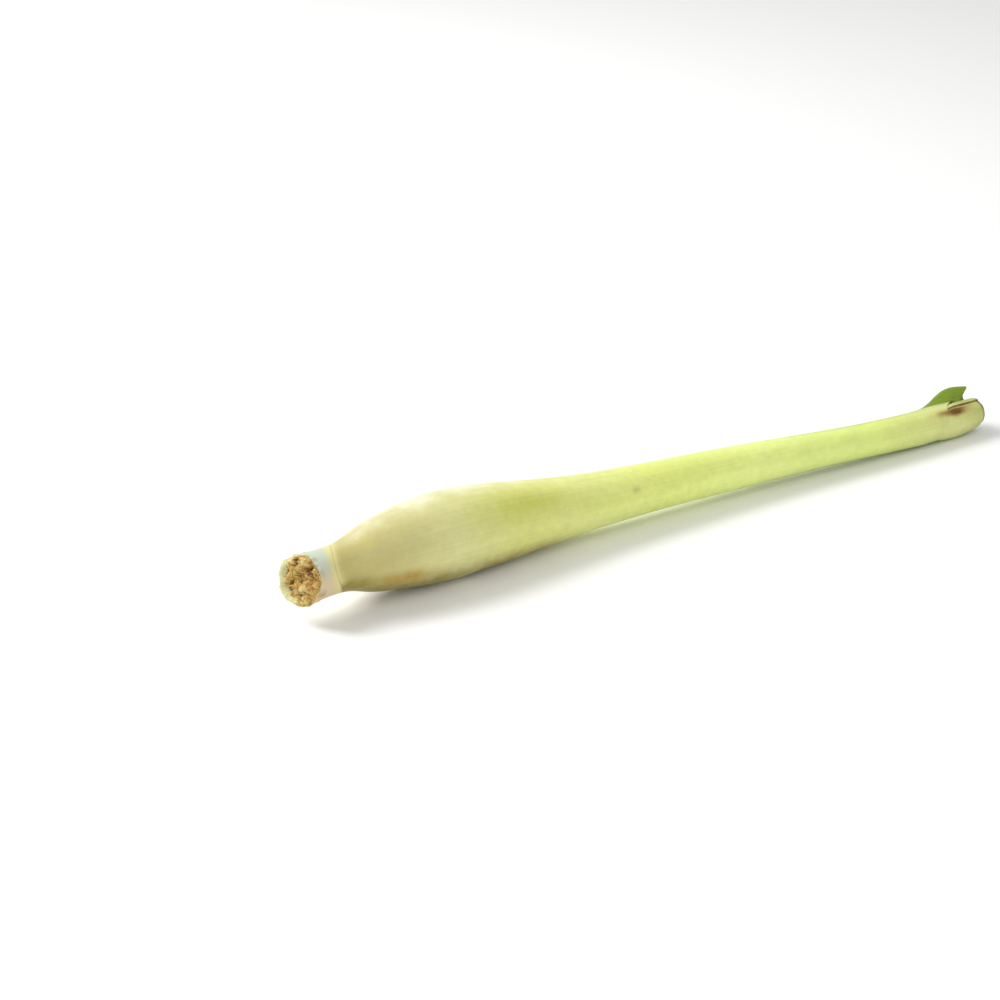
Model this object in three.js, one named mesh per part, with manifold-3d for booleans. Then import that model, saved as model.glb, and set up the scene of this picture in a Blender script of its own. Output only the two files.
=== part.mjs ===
// A lemongrass stalk, trimmed at both ends and lying on a table. Millimetres, +Z up.
// +X runs from the cut base to the leafy end. The origin is on the table under the middle of the stalk.
// s is the distance along the stalk from the middle of the cut base. An angle of 0 is the top of the stalk,
// and angles grow down the front (-Y), so 180 degrees is the underside and 270 or -90 the back.
import * as THREE from 'three';
import { mergeVertices } from 'three/addons/utils/BufferGeometryUtils.js';
import Module from 'manifold-3d';

const wasm = await Module();
wasm.setup();

const { degToRad, clamp, smoothstep, lerp } = THREE.MathUtils;

// Driving dimensions of the whole stalk
const stalkLength = 233;        // middle of the cut base to the end of the innermost leaves
const frameMiddle = 114.9;      // s over the origin
const bulbRadius = 12;
const bulbAt = 46;              // s of the fattest place
const bulbFlat = 0.4;           // how far the underside is pressed flat below the fattest place
const tipRestAt = 222;          // s where the far end lies on the table
const tipRestHeight = 5.05;     // axis above the table there
const baseDroop = 1.4;          // how far the cut base hangs below the line of the stalk
const tipBendAt = 219;          // s past which the far end bends up again
const tipRise = 1.3;            // and by how much at its end

// Radius of the stalk at s
const stalkOutline = [
  [0, 6.7], [8, 6.35], [13, 6.75], [20, 8.9], [28, 10.4], [37, 11.6], [bulbAt, bulbRadius], [60, 11.1],
  [75, 9.4], [92, 7.85], [112, 6.95], [140, 6.3], [175, 5.3], [195, 5.15], [212, 5.3], [223, 5.4],
  [stalkLength, 4.5],
];

// Sideways bend of the axis at s, +Y to the back
const sideBend = [[0, -4.5], [20, -2.4], [50, 0.4], [90, 0.7], [140, 1.7], [190, 0.4], [stalkLength, 1.1]];

// Stem: the cut base, the collar behind it and the plug inside the leaves
const ringAt = 11.6;            // ring where the first leaf is joined to the stem
const ringStep = 0.25;          // depth of the groove at the ring
const ringBend = 3.6;           // how far the ring bends to the cut, on the side that the cut is turned to
const ringBendEnd = 24;         // s where that bend has faded out along the leaves
const plugRadius = 4.6;
const plugEnd = 29;
const cutTurn = 21;             // degrees that the cut face is turned from square to the stalk
const cutTurnSide = 61;         // angle round the stalk that it is turned towards
const cutRim = 0.55;            // height of the skin left standing round the far side of the cut
const scarLumps = 34;           // torn fibres and root scars on the cut face
const scarPits = 14;
const rootStubs = 11;           // stubs of cut roots round the stem beside the cut

// Leaves
const leafGap = 0.3;            // free space between leaves
const wallThin = 0.9;           // thickness of the outer sheath on the slim upper stalk
const wallThick = 1.2;          // and on the bulb
const innerWall = 0.8;
const marginWall = 0.6;         // thickness of a sheath's free margins
const overlapWidth = 25;        // degrees by which one margin lies over the other
const tuckWidth = 45;           // degrees over which the lower margin dips under the upper one

// Mouth and blade of the outer leaf
const marginLow = 245;          // angle of the upper margin at the ring, low on the back
const marginHigh = 165;         // and at the mouth, under the stalk
const bladeMiddle = -52;        // angle of the blade's midrib
const bladeHalf = 30;           // half of the angle that the blade takes up where it is cut
const swellFront = 20;          // how far round the stalk the sheath swells in front of the midrib
const swellBack = 32;           // and behind it
const mouthLow = 213;           // s of the mouth at the margins
const mouthHigh = 224;          // s where the mouth's edge has turned into the blade's edge
const bladeEnd = 232.8;
const bladeLift = [[207, 0], [213, 0.5], [217, 1.6], [221, 3.4], [225, 5.1], [228.5, 6], [bladeEnd, 5.4]];

// Inner leaves
const secondStart = 18.5;
const secondEnd = 232.2;
const secondMargin = 11;        // angle of its upper margin, in front of the top
const secondProud = 0.12;       // how far it stays inside the outer leaf's line past the mouth
const thirdStart = 23;
const thirdEnd = 232.6;
const thirdSlitAt = 190;        // angle of the slit between its margins
const thirdSlit = 14;
const rollStart = 31;
const rollTaper = 0.45;         // part of its radius that the roll loses at its start
const rollHollow = 0.45;        // radius of the hollow in the middle of the roll
const scrollSlit = 0.35;
const scrollDepth = 7;
const scrollTurns = 1.6;

// A smooth curve through [s, value] points, read at any s.
function curveThrough(points) {
  const slope = (i) => {
    const before = points[Math.max(i - 1, 0)];
    const after = points[Math.min(i + 1, points.length - 1)];
    return (after[1] - before[1]) / (after[0] - before[0]);
  };
  return (s) => {
    let i = 0;
    while (i < points.length - 2 && s > points[i + 1][0]) i += 1;
    const [start, low] = points[i];
    const [end, high] = points[i + 1];
    const t = clamp((s - start) / (end - start), 0, 1);
    const leave = slope(i) * (end - start);
    const arrive = slope(i + 1) * (end - start);
    const rise = t * t * (3 - 2 * t);
    return low * (1 - rise) + high * rise + leave * t * (1 - t) ** 2 - arrive * t * t * (1 - t);
  };
}

const stalkRadius = curveThrough(stalkOutline);
const axisY = curveThrough(sideBend);
const lift = curveThrough(bladeLift);

// The axis falls in a straight line from the bulb to the far end, and droops a little at the cut base.
// It bends up again at the very end.
function axisZ(s) {
  const bulbHeight = bulbRadius - bulbFlat;
  const fall = (tipRestHeight - bulbHeight) / (tipRestAt - bulbAt);
  const droop = s < bulbAt ? baseDroop * (1 - s / bulbAt) ** 2 : 0;
  const rise = tipRise * clamp((s - tipBendAt) / (stalkLength - tipBendAt), 0, 1) ** 2;
  return bulbHeight + fall * (s - bulbAt) - droop + rise;
}

// A point at s along the stalk, at an angle in degrees, radius from its axis. None lies below the table.
function place(s, angle, radius) {
  const turn = degToRad(angle);
  const y = axisY(s) - radius * Math.sin(turn);
  const z = axisZ(s) + radius * Math.cos(turn);
  return [s - frameMiddle, y, Math.max(z, 0)];
}

// Signed difference of two angles, from -180 to 180 degrees.
function angleFrom(angle, origin) {
  return THREE.MathUtils.euclideanModulo(angle - origin + 180, 360) - 180;
}

// 1 from angle a to angle b, fading to 0 over 30 degrees past each end.
function band(angle, a, b) {
  const past = Math.abs(angleFrom(angle, (a + b) / 2)) - (b - a) / 2;
  return 1 - smoothstep(past, 0, 30);
}

// How far the ring is bent towards the cut at an angle. The bend fades out along the leaves.
function ringPull(s, angle) {
  const towardsCut = (1 + Math.cos(degToRad(angle - cutTurnSide))) / 2;
  return ringBend * towardsCut ** 2 * (1 - smoothstep(s, ringAt, ringBendEnd));
}

// Thickness of the outer sheath: it is thickest on the bulb.
function wallAt(s) {
  const slim = 5.3;
  return lerp(wallThin, wallThick, clamp((stalkRadius(s) - slim) / (bulbRadius - slim), 0, 1));
}

// Angle of the outer leaf's upper margin: the sheath winds a little round the stalk on its way up.
function outerMarginAt(s) {
  return lerp(marginLow, marginHigh, clamp((s - ringAt) / (mouthLow - ringAt), 0, 1));
}

// How far the sheath has opened at s: 0 where it is whole, 1 where only the blade is left.
function mouthOpening(s) {
  const t = clamp((s - mouthLow) / (mouthHigh - mouthLow), 0, 1);
  return 1 - (1 - t) ** 2;
}

// s of the mouth's edge at an angle: it runs obliquely from the margins up to the edges of the blade.
function mouthAt(angle) {
  const away = Math.abs(angleFrom(angle, bladeMiddle));
  const opening = clamp((180 - away) / (180 - bladeHalf), 0, 1);
  return lerp(mouthLow, mouthHigh, 1 - Math.sqrt(1 - opening));
}

// What the overlap of two thin margins takes from the space inside a sheath, beyond its normal wall.
function overlapRoom(wall) {
  return 2 * marginWall + leafGap - wall;
}

// Outer radius of the outer leaf, swollen where its blade leaves the stalk.
function outerLeafRadius(s, angle) {
  const past = angleFrom(angle, bladeMiddle);
  const swell = Math.exp(-((past / (past > 0 ? swellFront : swellBack)) ** 2));
  return stalkRadius(s) + (s > bladeLift[0][0] ? lift(s) * swell : 0);
}

// Its thickness along the radius, which is more where the blade's side stands up steeply.
function outerLeafWall(s, angle) {
  const rise = outerLeafRadius(s, angle + 1) - outerLeafRadius(s, angle - 1);
  return wallAt(s) * Math.hypot(1, rise / (degToRad(2) * outerLeafRadius(s, angle)));
}

// 1 under the blade, 0 beside it
function underBlade(angle) {
  return 1 - smoothstep(Math.abs(angleFrom(angle, bladeMiddle)), bladeHalf + 2, bladeHalf + 14);
}

// Outer radius of the second leaf: inside the outer sheath, then swelling to the stalk's radius past its
// mouth, but not under the blade.
function secondLeafRadius(s, angle, mouth = mouthAt(angle)) {
  const margin = outerMarginAt(s);
  const overlap = band(angle, margin - overlapWidth, margin + tuckWidth);
  const free = smoothstep(s, mouth + 0.5, mouth + 5) * (1 - underBlade(angle));
  const room = wallAt(s) + leafGap + overlap * overlapRoom(wallAt(s));
  return stalkRadius(s) - lerp(room, secondProud, free);
}

// The third leaf swells only past the last of the mouth, so that it stays inside the second all round.
function thirdLeafRadius(s, angle) {
  const overlap = band(angle, secondMargin - overlapWidth, secondMargin + tuckWidth);
  return secondLeafRadius(s, angle, mouthHigh) - innerWall - leafGap - overlap * overlapRoom(innerWall);
}

function rollRadius(s, angle) {
  const blunt = 1 - rollTaper * (1 - smoothstep(s, rollStart, rollStart + 6));
  return (thirdLeafRadius(s, angle) - innerWall - leafGap) * blunt;
}

// Values of s from the start of the first stretch to the end of the last, at about the step of each stretch.
function stations(...stretches) {
  const list = [];
  for (const [from, to, step] of stretches) {
    const count = Math.max(1, Math.round((to - from) / step));
    for (let i = 0; i < count; i += 1) list.push(lerp(from, to, i / count));
  }
  list.push(stretches.at(-1)[1]);
  return list;
}

// A full turn of points round the stalk. The point at an angle is given by a function.
function ringOf(count, pointAt) {
  return Array.from({ length: count }, (_, i) => pointAt(-360 * (i / count)));
}

// A closed mesh through a list of rings of points, each ring with the same number, capped at both ends.
// Each quad between two rings is split along its shorter diagonal.
function loft(rings) {
  const size = rings[0].length;
  const index = [];
  const apart = ([ax, ay, az], [bx, by, bz]) => Math.hypot(ax - bx, ay - by, az - bz);
  for (let i = 0; i + 1 < rings.length; i += 1) {
    for (let j = 0; j < size; j += 1) {
      const k = (j + 1) % size;
      const a = i * size + j;
      const b = i * size + k;
      if (apart(rings[i][j], rings[i + 1][k]) <= apart(rings[i][k], rings[i + 1][j])) {
        index.push(a, b, b + size, a, b + size, a + size);
      } else {
        index.push(a, b, a + size, b, b + size, a + size);
      }
    }
  }
  const last = (rings.length - 1) * size;
  const flat = (ring) => ring.map(([, y, z]) => new THREE.Vector2(y, z));
  for (const [a, b, c] of THREE.ShapeUtils.triangulateShape(flat(rings[0]), [])) index.push(a, b, c);
  for (const [a, b, c] of THREE.ShapeUtils.triangulateShape(flat(rings.at(-1)), [])) {
    index.push(last + a, last + c, last + b);
  }
  return facingOut(rings.flat(2), index);
}

// A geometry with its faces pointing out: all of them are turned over if its volume comes out negative.
function facingOut(positions, index) {
  const corner = (i) => new THREE.Vector3().fromArray(positions, 3 * i);
  let volume = 0;
  for (let i = 0; i < index.length; i += 3) {
    volume += corner(index[i]).dot(corner(index[i + 1]).cross(corner(index[i + 2])));
  }
  const geometry = new THREE.BufferGeometry();
  geometry.setAttribute('position', new THREE.Float32BufferAttribute(positions, 3));
  geometry.setIndex(volume < 0 ? index.reverse() : index);
  geometry.computeVertexNormals();
  return geometry;
}

// One cross-section of a rolled sheath. Turn runs from 0 at the upper margin to 360 and on under the overlap.
function sheathRing(s, margin, radiusAt, wallOf, steps, firstTurn, lastTurn) {
  const outside = [];
  const inside = [];
  for (let i = 0; i <= steps; i += 1) {
    const turn = lerp(firstTurn, lastTurn, i / steps);
    const angle = margin - turn;
    const along = s - ringPull(s, angle);
    const dip = (marginWall + leafGap) * smoothstep(turn, 360 - tuckWidth, 360);
    const fromMargin = Math.min(turn, 360 + overlapWidth - turn);
    const inward = smoothstep(fromMargin, overlapWidth * 0.9, overlapWidth + tuckWidth);
    const thick = lerp(marginWall, wallOf(along, angle), inward);
    const outer = radiusAt(along, angle) - dip;
    outside.push(place(along, angle, outer));
    inside.push(place(along, angle, outer - thick));
  }
  return [...outside, ...inside.reverse()];
}

// The outermost leaf: sheath from the ring to its mouth, then the blade that leaves it beside its midrib.
function outerLeaf() {
  const list = stations(
    [ringAt + leafGap, 30, 3.4], [30, 62, 4.5], [62, 118, 8], [118, 204, 12], [204, mouthLow, 3],
    [mouthLow, 215.5, 0.5], [215.5, 218, 0.8], [218, bladeEnd, 1.5],
  );
  return loft(list.map((s) => {
    const margin = outerMarginAt(s);
    const midrib = margin - bladeMiddle;
    const open = mouthOpening(s);
    const firstTurn = lerp(0, midrib - bladeHalf, open);
    const lastTurn = lerp(360 + overlapWidth, midrib + bladeHalf, open);
    return sheathRing(s, margin, outerLeafRadius, outerLeafWall, 34, firstTurn, lastTurn);
  }));
}

// Stretches that the inner leaves share, so that their sections fall at the same places.
const innerStretches = [[38, 70, 8], [70, 204, 16.75], [204, 212, 4], [212, secondEnd, 2]];

function secondLeaf() {
  const list = stations([secondStart, 30, 4], [30, 38, 8], ...innerStretches);
  const lastTurn = 360 + overlapWidth;
  const wall = () => innerWall;
  return loft(list.map((s) => sheathRing(s, secondMargin, secondLeafRadius, wall, 30, 0, lastTurn)));
}

// A sheath whose margins meet at a narrow slit.
function thirdLeaf() {
  const steps = 26;
  const list = stations([thirdStart, 30, 7], [30, 38, 8], ...innerStretches, [secondEnd, thirdEnd, 1]);
  return loft(list.map((s) => {
    const outside = [];
    const inside = [];
    for (let i = 0; i <= steps; i += 1) {
      const angle = thirdSlitAt - lerp(thirdSlit / 2, 360 - thirdSlit / 2, i / steps);
      outside.push(place(s, angle, thirdLeafRadius(s, angle)));
      inside.push(place(s, angle, thirdLeafRadius(s, angle) - innerWall));
    }
    return [...outside, ...inside.reverse()];
  }));
}

// A geometry as a solid that can be joined and cut.
function toSolid(geometry) {
  const bare = geometry.clone();
  bare.deleteAttribute('normal');
  bare.deleteAttribute('uv');
  const merged = mergeVertices(bare);
  return new wasm.Manifold(new wasm.Mesh({
    numProp: 3,
    vertProperties: merged.attributes.position.array,
    triVerts: new Uint32Array(merged.index.array),
  }));
}

function fromSolid(solid) {
  const mesh = solid.getMesh();
  const geometry = new THREE.BufferGeometry();
  geometry.setAttribute('position', new THREE.BufferAttribute(mesh.vertProperties, mesh.numProp));
  geometry.setIndex(new THREE.BufferAttribute(mesh.triVerts, 1));
  geometry.computeVertexNormals();
  return geometry;
}

// The spiral gap between the turns of the rolled leaves, as a thin curved wall to be cut out of their end.
function scrollGap() {
  const steps = 26;
  const reach = 2.6;            // radius outside the roll, so that the slit opens at its skin
  const overshoot = 2;
  const spiral = (radiusAt) => Array.from({ length: steps + 1 }, (_, i) => {
    const turn = (i / steps) * scrollTurns * 2 * Math.PI;
    const radius = radiusAt(lerp(reach, rollHollow, (i / steps) ** 0.8));
    return new THREE.Vector2(Math.cos(turn) * radius, Math.sin(turn) * radius);
  });
  const outside = spiral((radius) => radius);
  const inside = spiral((radius) => Math.max(radius - scrollSlit, 0.1));
  const shape = new THREE.Shape([...outside, ...inside.reverse()]);
  const geometry = new THREE.ExtrudeGeometry(shape, { depth: scrollDepth + overshoot, bevelEnabled: false });
  geometry.rotateY(Math.PI / 2);
  geometry.translate(stalkLength - scrollDepth - frameMiddle, axisY(stalkLength), axisZ(stalkLength));
  return geometry;
}

// The youngest leaves, solid but for the scroll of gaps at their end. A scrap that the slit frees is dropped.
function innerRoll() {
  const list = stations([rollStart, 38, 3.5], ...innerStretches, [secondEnd, stalkLength, 1.4]);
  const rings = list.map((s) => ringOf(22, (angle) => place(s, angle, rollRadius(s, angle))));
  const bodies = toSolid(loft(rings)).subtract(toSolid(scrollGap())).decompose();
  bodies.sort((a, b) => b.volume() - a.volume());
  return fromSolid(bodies[0]);
}

// Repeatable random numbers from 0 to 1.
function seeded(seed) {
  let state = seed;
  return () => {
    state = (state * 1664525 + 1013904223) % 4294967296;
    return state / 4294967296;
  };
}

const random = seeded(7);

// Lumps and pits of the cut face, as places on a disc of radius 1. Width is in that radius, height in mm.
function faceMarks(count, low, high) {
  return Array.from({ length: count }, () => {
    const radius = Math.sqrt(random()) * 0.9;
    const turn = random() * 2 * Math.PI;
    const wide = lerp(0.1, 0.2, random());
    const height = lerp(low, high, random());
    return { x: radius * Math.cos(turn), y: radius * Math.sin(turn), wide, height };
  });
}

const torn = [...faceMarks(scarLumps, 0.3, 1), ...faceMarks(scarPits, -1.5, -0.7)];

const stubs = Array.from({ length: rootStubs }, (_, i) => ({
  angle: (i + 0.7 * random()) * (360 / rootStubs),
  behind: lerp(0.9, 2.2, random()),
  height: lerp(0.25, 0.6, random()),
}));

// Height of the torn cut face above its plane, at a part of the stem's radius and an angle.
function faceRelief(part, angle) {
  const turn = degToRad(angle);
  const away = (1 - Math.cos(degToRad(angle - cutTurnSide))) / 2;
  let height = cutRim * away * smoothstep(part, 0.78, 0.92);
  for (const mark of torn) {
    const apart = (part * Math.sin(turn) - mark.x) ** 2 + (part * Math.cos(turn) - mark.y) ** 2;
    height += mark.height * Math.exp(-apart / mark.wide ** 2) * (1 - smoothstep(part, 0.8, 1));
  }
  return height;
}

// How far the root stubs raise the stem's side, at a distance behind the edge of the cut.
function stubRelief(behind, angle) {
  const wide = 0.8;
  let height = 0;
  for (const stub of stubs) {
    const across = degToRad(angleFrom(angle, stub.angle)) * stalkRadius(0);
    height += stub.height * Math.exp(-(across ** 2 + (behind - stub.behind) ** 2) / wide ** 2);
  }
  return height;
}

// The solid stem, from the middle of its torn face over the rim and along the collar to the tip of the plug.
function stemBase() {
  const around = 44;
  const faceRings = 9;
  const lean = Math.tan(degToRad(cutTurn));
  const cutAt = (radius, angle) => lean * radius * Math.cos(degToRad(angle - cutTurnSide));
  const wave = (count, turned) => Math.sin(degToRad(count * turned));
  const ragged = (angle) => 1 + 0.03 * wave(5, angle + 12) + 0.02 * wave(11, angle);
  const rings = [];
  for (let k = 1; k <= faceRings; k += 1) {
    rings.push(ringOf(around, (angle) => {
      const part = k / faceRings;
      const radius = stalkRadius(0) * part * ragged(angle);
      const [x, y, z] = place(0, angle, radius);
      return [x + cutAt(radius, angle) - faceRelief(part, angle), y, z];
    }));
  }
  for (const behind of [0.5, 1.1, 1.8, 2.7, 4.2, 6.4, 8.8, 10.8, ringAt]) {
    rings.push(ringOf(around, (angle) => {
      const edge = cutAt(stalkRadius(0), angle);
      const s = behind + lerp(edge, -ringPull(ringAt, angle), smoothstep(behind, 0, ringAt));
      const groove = behind === ringAt ? ringStep : 0;
      return place(s, angle, stalkRadius(s) + stubRelief(behind, angle) - groove);
    }));
  }
  const plug = [[ringAt + 0.05, 1], [20, 1], [plugEnd - 4, 0.94], [plugEnd - 1.5, 0.72], [plugEnd, 0.35]];
  for (const [s, part] of plug) {
    rings.push(ringOf(around, (angle) => place(s - ringPull(s, angle), angle, plugRadius * part)));
  }
  return loft(rings);
}

function piece(name, geometry, color, roughness) {
  const mesh = new THREE.Mesh(geometry, new THREE.MeshStandardMaterial({ color, roughness, metalness: 0 }));
  mesh.name = name;
  return mesh;
}

const stalk = new THREE.Group();
stalk.add(piece('stem_base', stemBase(), 0xc79f63, 0.85));
stalk.add(piece('outer_leaf', outerLeaf(), 0xd3d68c, 0.45));
stalk.add(piece('second_leaf', secondLeaf(), 0xc6d878, 0.45));
stalk.add(piece('third_leaf', thirdLeaf(), 0xdbe3a0, 0.5));
stalk.add(piece('inner_roll', innerRoll(), 0xe6e8b4, 0.5));

export default stalk;
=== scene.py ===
# A lemongrass stalk, trimmed at both ends, lying on a pale table.
import math
import bmesh
import bpy
import numpy as np
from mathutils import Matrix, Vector


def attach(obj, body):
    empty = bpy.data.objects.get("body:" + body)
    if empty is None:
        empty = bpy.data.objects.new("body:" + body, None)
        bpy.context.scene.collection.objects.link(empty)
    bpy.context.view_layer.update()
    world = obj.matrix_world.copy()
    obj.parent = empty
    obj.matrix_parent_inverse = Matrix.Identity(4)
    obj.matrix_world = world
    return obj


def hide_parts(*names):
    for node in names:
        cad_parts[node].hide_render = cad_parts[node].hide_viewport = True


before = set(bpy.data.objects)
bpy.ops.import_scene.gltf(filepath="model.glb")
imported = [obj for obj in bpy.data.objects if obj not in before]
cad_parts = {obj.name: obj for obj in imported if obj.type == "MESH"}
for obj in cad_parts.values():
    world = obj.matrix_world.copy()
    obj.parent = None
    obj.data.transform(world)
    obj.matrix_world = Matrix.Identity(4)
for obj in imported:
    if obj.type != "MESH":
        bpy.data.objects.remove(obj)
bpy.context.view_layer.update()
mm = 0.001  # lengths below are in millimetres, Blender's are in metres

# The line of the whole stalk. s runs from the cut base to the leafy end, angle 0 is the top and 90 the front
stalk = {
    "middle": 114.9,           # s over the origin
    "bulbRadius": 12,
    "bulbAt": 46,
    "bulbFlat": 0.4,           # the underside is pressed flat by this
    "tipRestAt": 222,
    "tipRestHeight": 5.05,
    "baseDroop": 1.4,
    "tipBendAt": 219,          # past here the far end bends up again
    "tipRise": 1.3,
    "end": 233,
    "outline": [               # (s, radius)
        (0, 6.7), (8, 6.35), (13, 6.75), (20, 8.9), (28, 10.4), (37, 11.6), (46, 12), (60, 11.1), (75, 9.4),
        (92, 7.85), (112, 6.95), (140, 6.3), (175, 5.3), (195, 5.15), (212, 5.3), (223, 5.4), (233, 4.5)],
    "bend": [(0, -4.5), (20, -2.4), (50, 0.4), (90, 0.7), (140, 1.7), (190, 0.4), (233, 1.1)],  # (s, y)
}


def smooth(value, start, end):
    t = np.clip((value - start) / (end - start), 0, 1)
    return t * t * (3 - 2 * t)


def mix(a, b, t):
    return a + (b - a) * t


def angleFrom(angle, origin):
    return (angle - origin + 180) % 360 - 180


# A smooth curve through (s, value) points
def curveThrough(points):
    at, value = np.array(points, float).T
    last = len(at) - 1
    after = np.minimum(np.arange(last + 1) + 1, last)
    before = np.maximum(np.arange(last + 1) - 1, 0)
    slope = (value[after] - value[before]) / (at[after] - at[before])

    def read(s):
        i = np.clip(np.searchsorted(at, s) - 1, 0, last - 1)
        span = at[i + 1] - at[i]
        t = np.clip((s - at[i]) / span, 0, 1)
        rise = t * t * (3 - 2 * t)
        leave = slope[i] * span * t * (1 - t) ** 2
        arrive = slope[i + 1] * span * t * t * (1 - t)
        return value[i] * (1 - rise) + value[i + 1] * rise + leave - arrive
    return read


stalkRadius = curveThrough(stalk["outline"])
axisY = curveThrough(stalk["bend"])


# Straight from the bulb down to the far end, with a little droop at the cut base and a rise at the very end
def axisZ(s):
    bulbHeight = stalk["bulbRadius"] - stalk["bulbFlat"]
    fall = (stalk["tipRestHeight"] - bulbHeight) / (stalk["tipRestAt"] - stalk["bulbAt"])
    droop = stalk["baseDroop"] * np.clip(1 - s / stalk["bulbAt"], 0, 1) ** 2
    bent = np.clip((s - stalk["tipBendAt"]) / (stalk["end"] - stalk["tipBendAt"]), 0, 1)
    return bulbHeight + fall * (s - stalk["bulbAt"]) - droop + stalk["tipRise"] * bent ** 2


# Points at s, at an angle in degrees and a radius round the stalk, never below the table
def place(s, angle, radius):
    turn = np.radians(angle)
    x = s - stalk["middle"] + 0 * turn
    y = axisY(s) - radius * np.sin(turn)
    z = np.maximum(axisZ(s) + radius * np.cos(turn), 0)
    return np.stack([x, y, z], -1)


# s values over stretches of (from, to, step)
def stations(*stretches):
    parts = [np.linspace(a, b, max(1, round((b - a) / step)), endpoint=False) for a, b, step in stretches]
    return np.concatenate(parts + [[stretches[-1][1]]])


# The ring where the first leaf joins the stem, bent towards the cut on the side that the cut is turned to
ring = {"at": 11.6, "bend": 3.6, "bendEnd": 24, "side": 61}


def ringPull(s, angle):
    towardsCut = (1 + np.cos(np.radians(angle - ring["side"]))) / 2
    return ring["bend"] * towardsCut ** 2 * (1 - smooth(s, ring["at"], ring["bendEnd"]))


# The outermost leaf, as in the solids, with edges and margins as thin as real ones
outer = {
    "start": 11.6,
    "wallThin": 0.9,
    "wallThick": 1.2,
    "gap": 0.3,                # room between this leaf and the next
    "marginWall": 0.6,
    "edgeWall": 0.2,           # thickness right at a free edge
    "edgeSlope": 0.35,         # how fast it grows away from the edge
    "mouthWall": 0.19,
    "bladeWall": 0.4,
    "overlap": 25,
    "tuck": 45,                # degrees over which the covered margin goes down
    "marginLow": 245,
    "marginHigh": 165,
    "mouthLow": 213,
    "mouthHigh": 224,
    "bladeMiddle": -52,
    "bladeHalf": 30,
    "spreadFront": 20,         # the lifted part's half width to the front, in degrees, and to the back
    "spreadBack": 32,
    "bladeEnd": 232.6,
    "cutSlant": 6,             # the blade's cut runs back by this at its front edge
    "greenFoot": 4,            # how far the blade's green reaches to the front, in degrees: at its foot,
    "greenFront": 22,          # before it lifts off, and past its half once it has
    "greenPast": 8,
    "lift": [(207, 0), (213, 0.5), (217, 1.6), (221, 3.3), (225, 4.7), (228.5, 5), (232.8, 4.1)],
    "edgeDrop": 0.25,          # how far the sheath lies down towards its mouth
    "veins": 44,
    "veinDepth": 0.035,
    "unevenness": 0.1,
    "columns": 190,
}
bladeLift = curveThrough(outer["lift"])


def outerMargin(s):
    along = np.clip((s - ring["at"]) / (outer["mouthLow"] - ring["at"]), 0, 1)
    return mix(outer["marginLow"], outer["marginHigh"], along)


def wallAt(s):
    slim = 5.3
    fat = np.clip((stalkRadius(s) - slim) / (stalk["bulbRadius"] - slim), 0, 1)
    return mix(outer["wallThin"], outer["wallThick"], fat)


def mouthOpening(s):
    t = np.clip((s - outer["mouthLow"]) / (outer["mouthHigh"] - outer["mouthLow"]), 0, 1)
    return 1 - (1 - t) ** 2


def mouthAt(angle):
    away = np.abs(angleFrom(angle, outer["bladeMiddle"]))
    opening = np.clip((180 - away) / (180 - outer["bladeHalf"]), 0, 1)
    return mix(outer["mouthLow"], outer["mouthHigh"], 1 - np.sqrt(1 - opening))


# 1 over the blade's part of the turn, 0 away from it
def overBlade(angle):
    away = np.abs(angleFrom(angle, outer["bladeMiddle"]))
    return 1 - smooth(away, outer["bladeHalf"] - 8, outer["bladeHalf"] + 6)


# 1 right at the sheath's mouth, 0 deeper in
def towardsMouth(s, angle):
    return (1 - smooth(mouthAt(angle) - s, 0, 6)) * (1 - overBlade(angle))


# Fine lengthwise ribs, a little uneven
def ribs(angle, count, seed):
    turn = np.radians(angle)
    wave = np.cos(count * turn) + 0.6 * np.cos(count * 1.7 * turn + seed)
    return (wave + 0.5 * np.cos(count * 0.37 * turn + 2 * seed)) / 2.1


def outerRadius(s, angle):
    past = angleFrom(angle, outer["bladeMiddle"])
    spread = np.where(past > 0, outer["spreadFront"], outer["spreadBack"])
    lift = np.where(s > outer["lift"][0][0], bladeLift(s), 0) * np.exp(-(past / spread) ** 2)
    veins = outer["veinDepth"] * ribs(angle, outer["veins"], 1.3) * smooth(s, 14, 60)
    turn = np.radians(angle)
    uneven = outer["unevenness"] * np.sin(s / 17 + turn) * np.sin(s / 29 + 2 * turn + 1)
    uneven = uneven * smooth(s, 60, 90)
    drop = outer["edgeDrop"] * towardsMouth(s, angle)
    return stalkRadius(s) + lift + veins + uneven - drop


# 1 between two angles, fading out beyond them
def band(angle, a, b):
    past = np.abs(angleFrom(angle, (a + b) / 2)) - (b - a) / 2
    return 1 - smooth(past, 0, 30)


# What a leaf's doubled margins need beyond its wall
def overlapRoom(wall):
    return 2 * outer["marginWall"] + outer["gap"] - wall


# The leaves inside it
inner = {
    "wall": 0.8,
    "secondStart": 18.5,
    "secondEnd": 232.2,
    "secondMargin": 11,
    "underEdge": 0.5,          # depth of the second leaf right under the thin mouth
    "proud": 0.12,             # its depth once it is out of the mouth
    "tuckDepth": 0.38,         # how far its covered margin goes down there
    "topWall": 0.3,            # thickness of its margins there, on top
    "ribs": 40,
    "ribDepth": 0.02,
    "columns": 150,
    "thirdStart": 23,
    "thirdEnd": 232.6,
    "thirdSlitAt": 190,
    "thirdSlit": 8,
    "thirdColumns": 120,
    "rollStart": 31,
    "rollColumns": 200,
    "rollFrom": 40,
    "rollFill": 0.8,           # part of the pitch that the rolled sheet takes
    "rollTurns": 2.6,
    "rollHollow": 0.14,        # part of its radius that stays open in the middle
}


# Depth of the second leaf's face below the line of the stalk deep inside the outer sheath, and the overlap
def sheathRoom(s, angle):
    margin = outerMargin(s)
    overlap = band(angle, margin - outer["overlap"], margin + outer["tuck"])
    return wallAt(s) + outer["gap"] + overlap * overlapRoom(wallAt(s)), overlap


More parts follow.
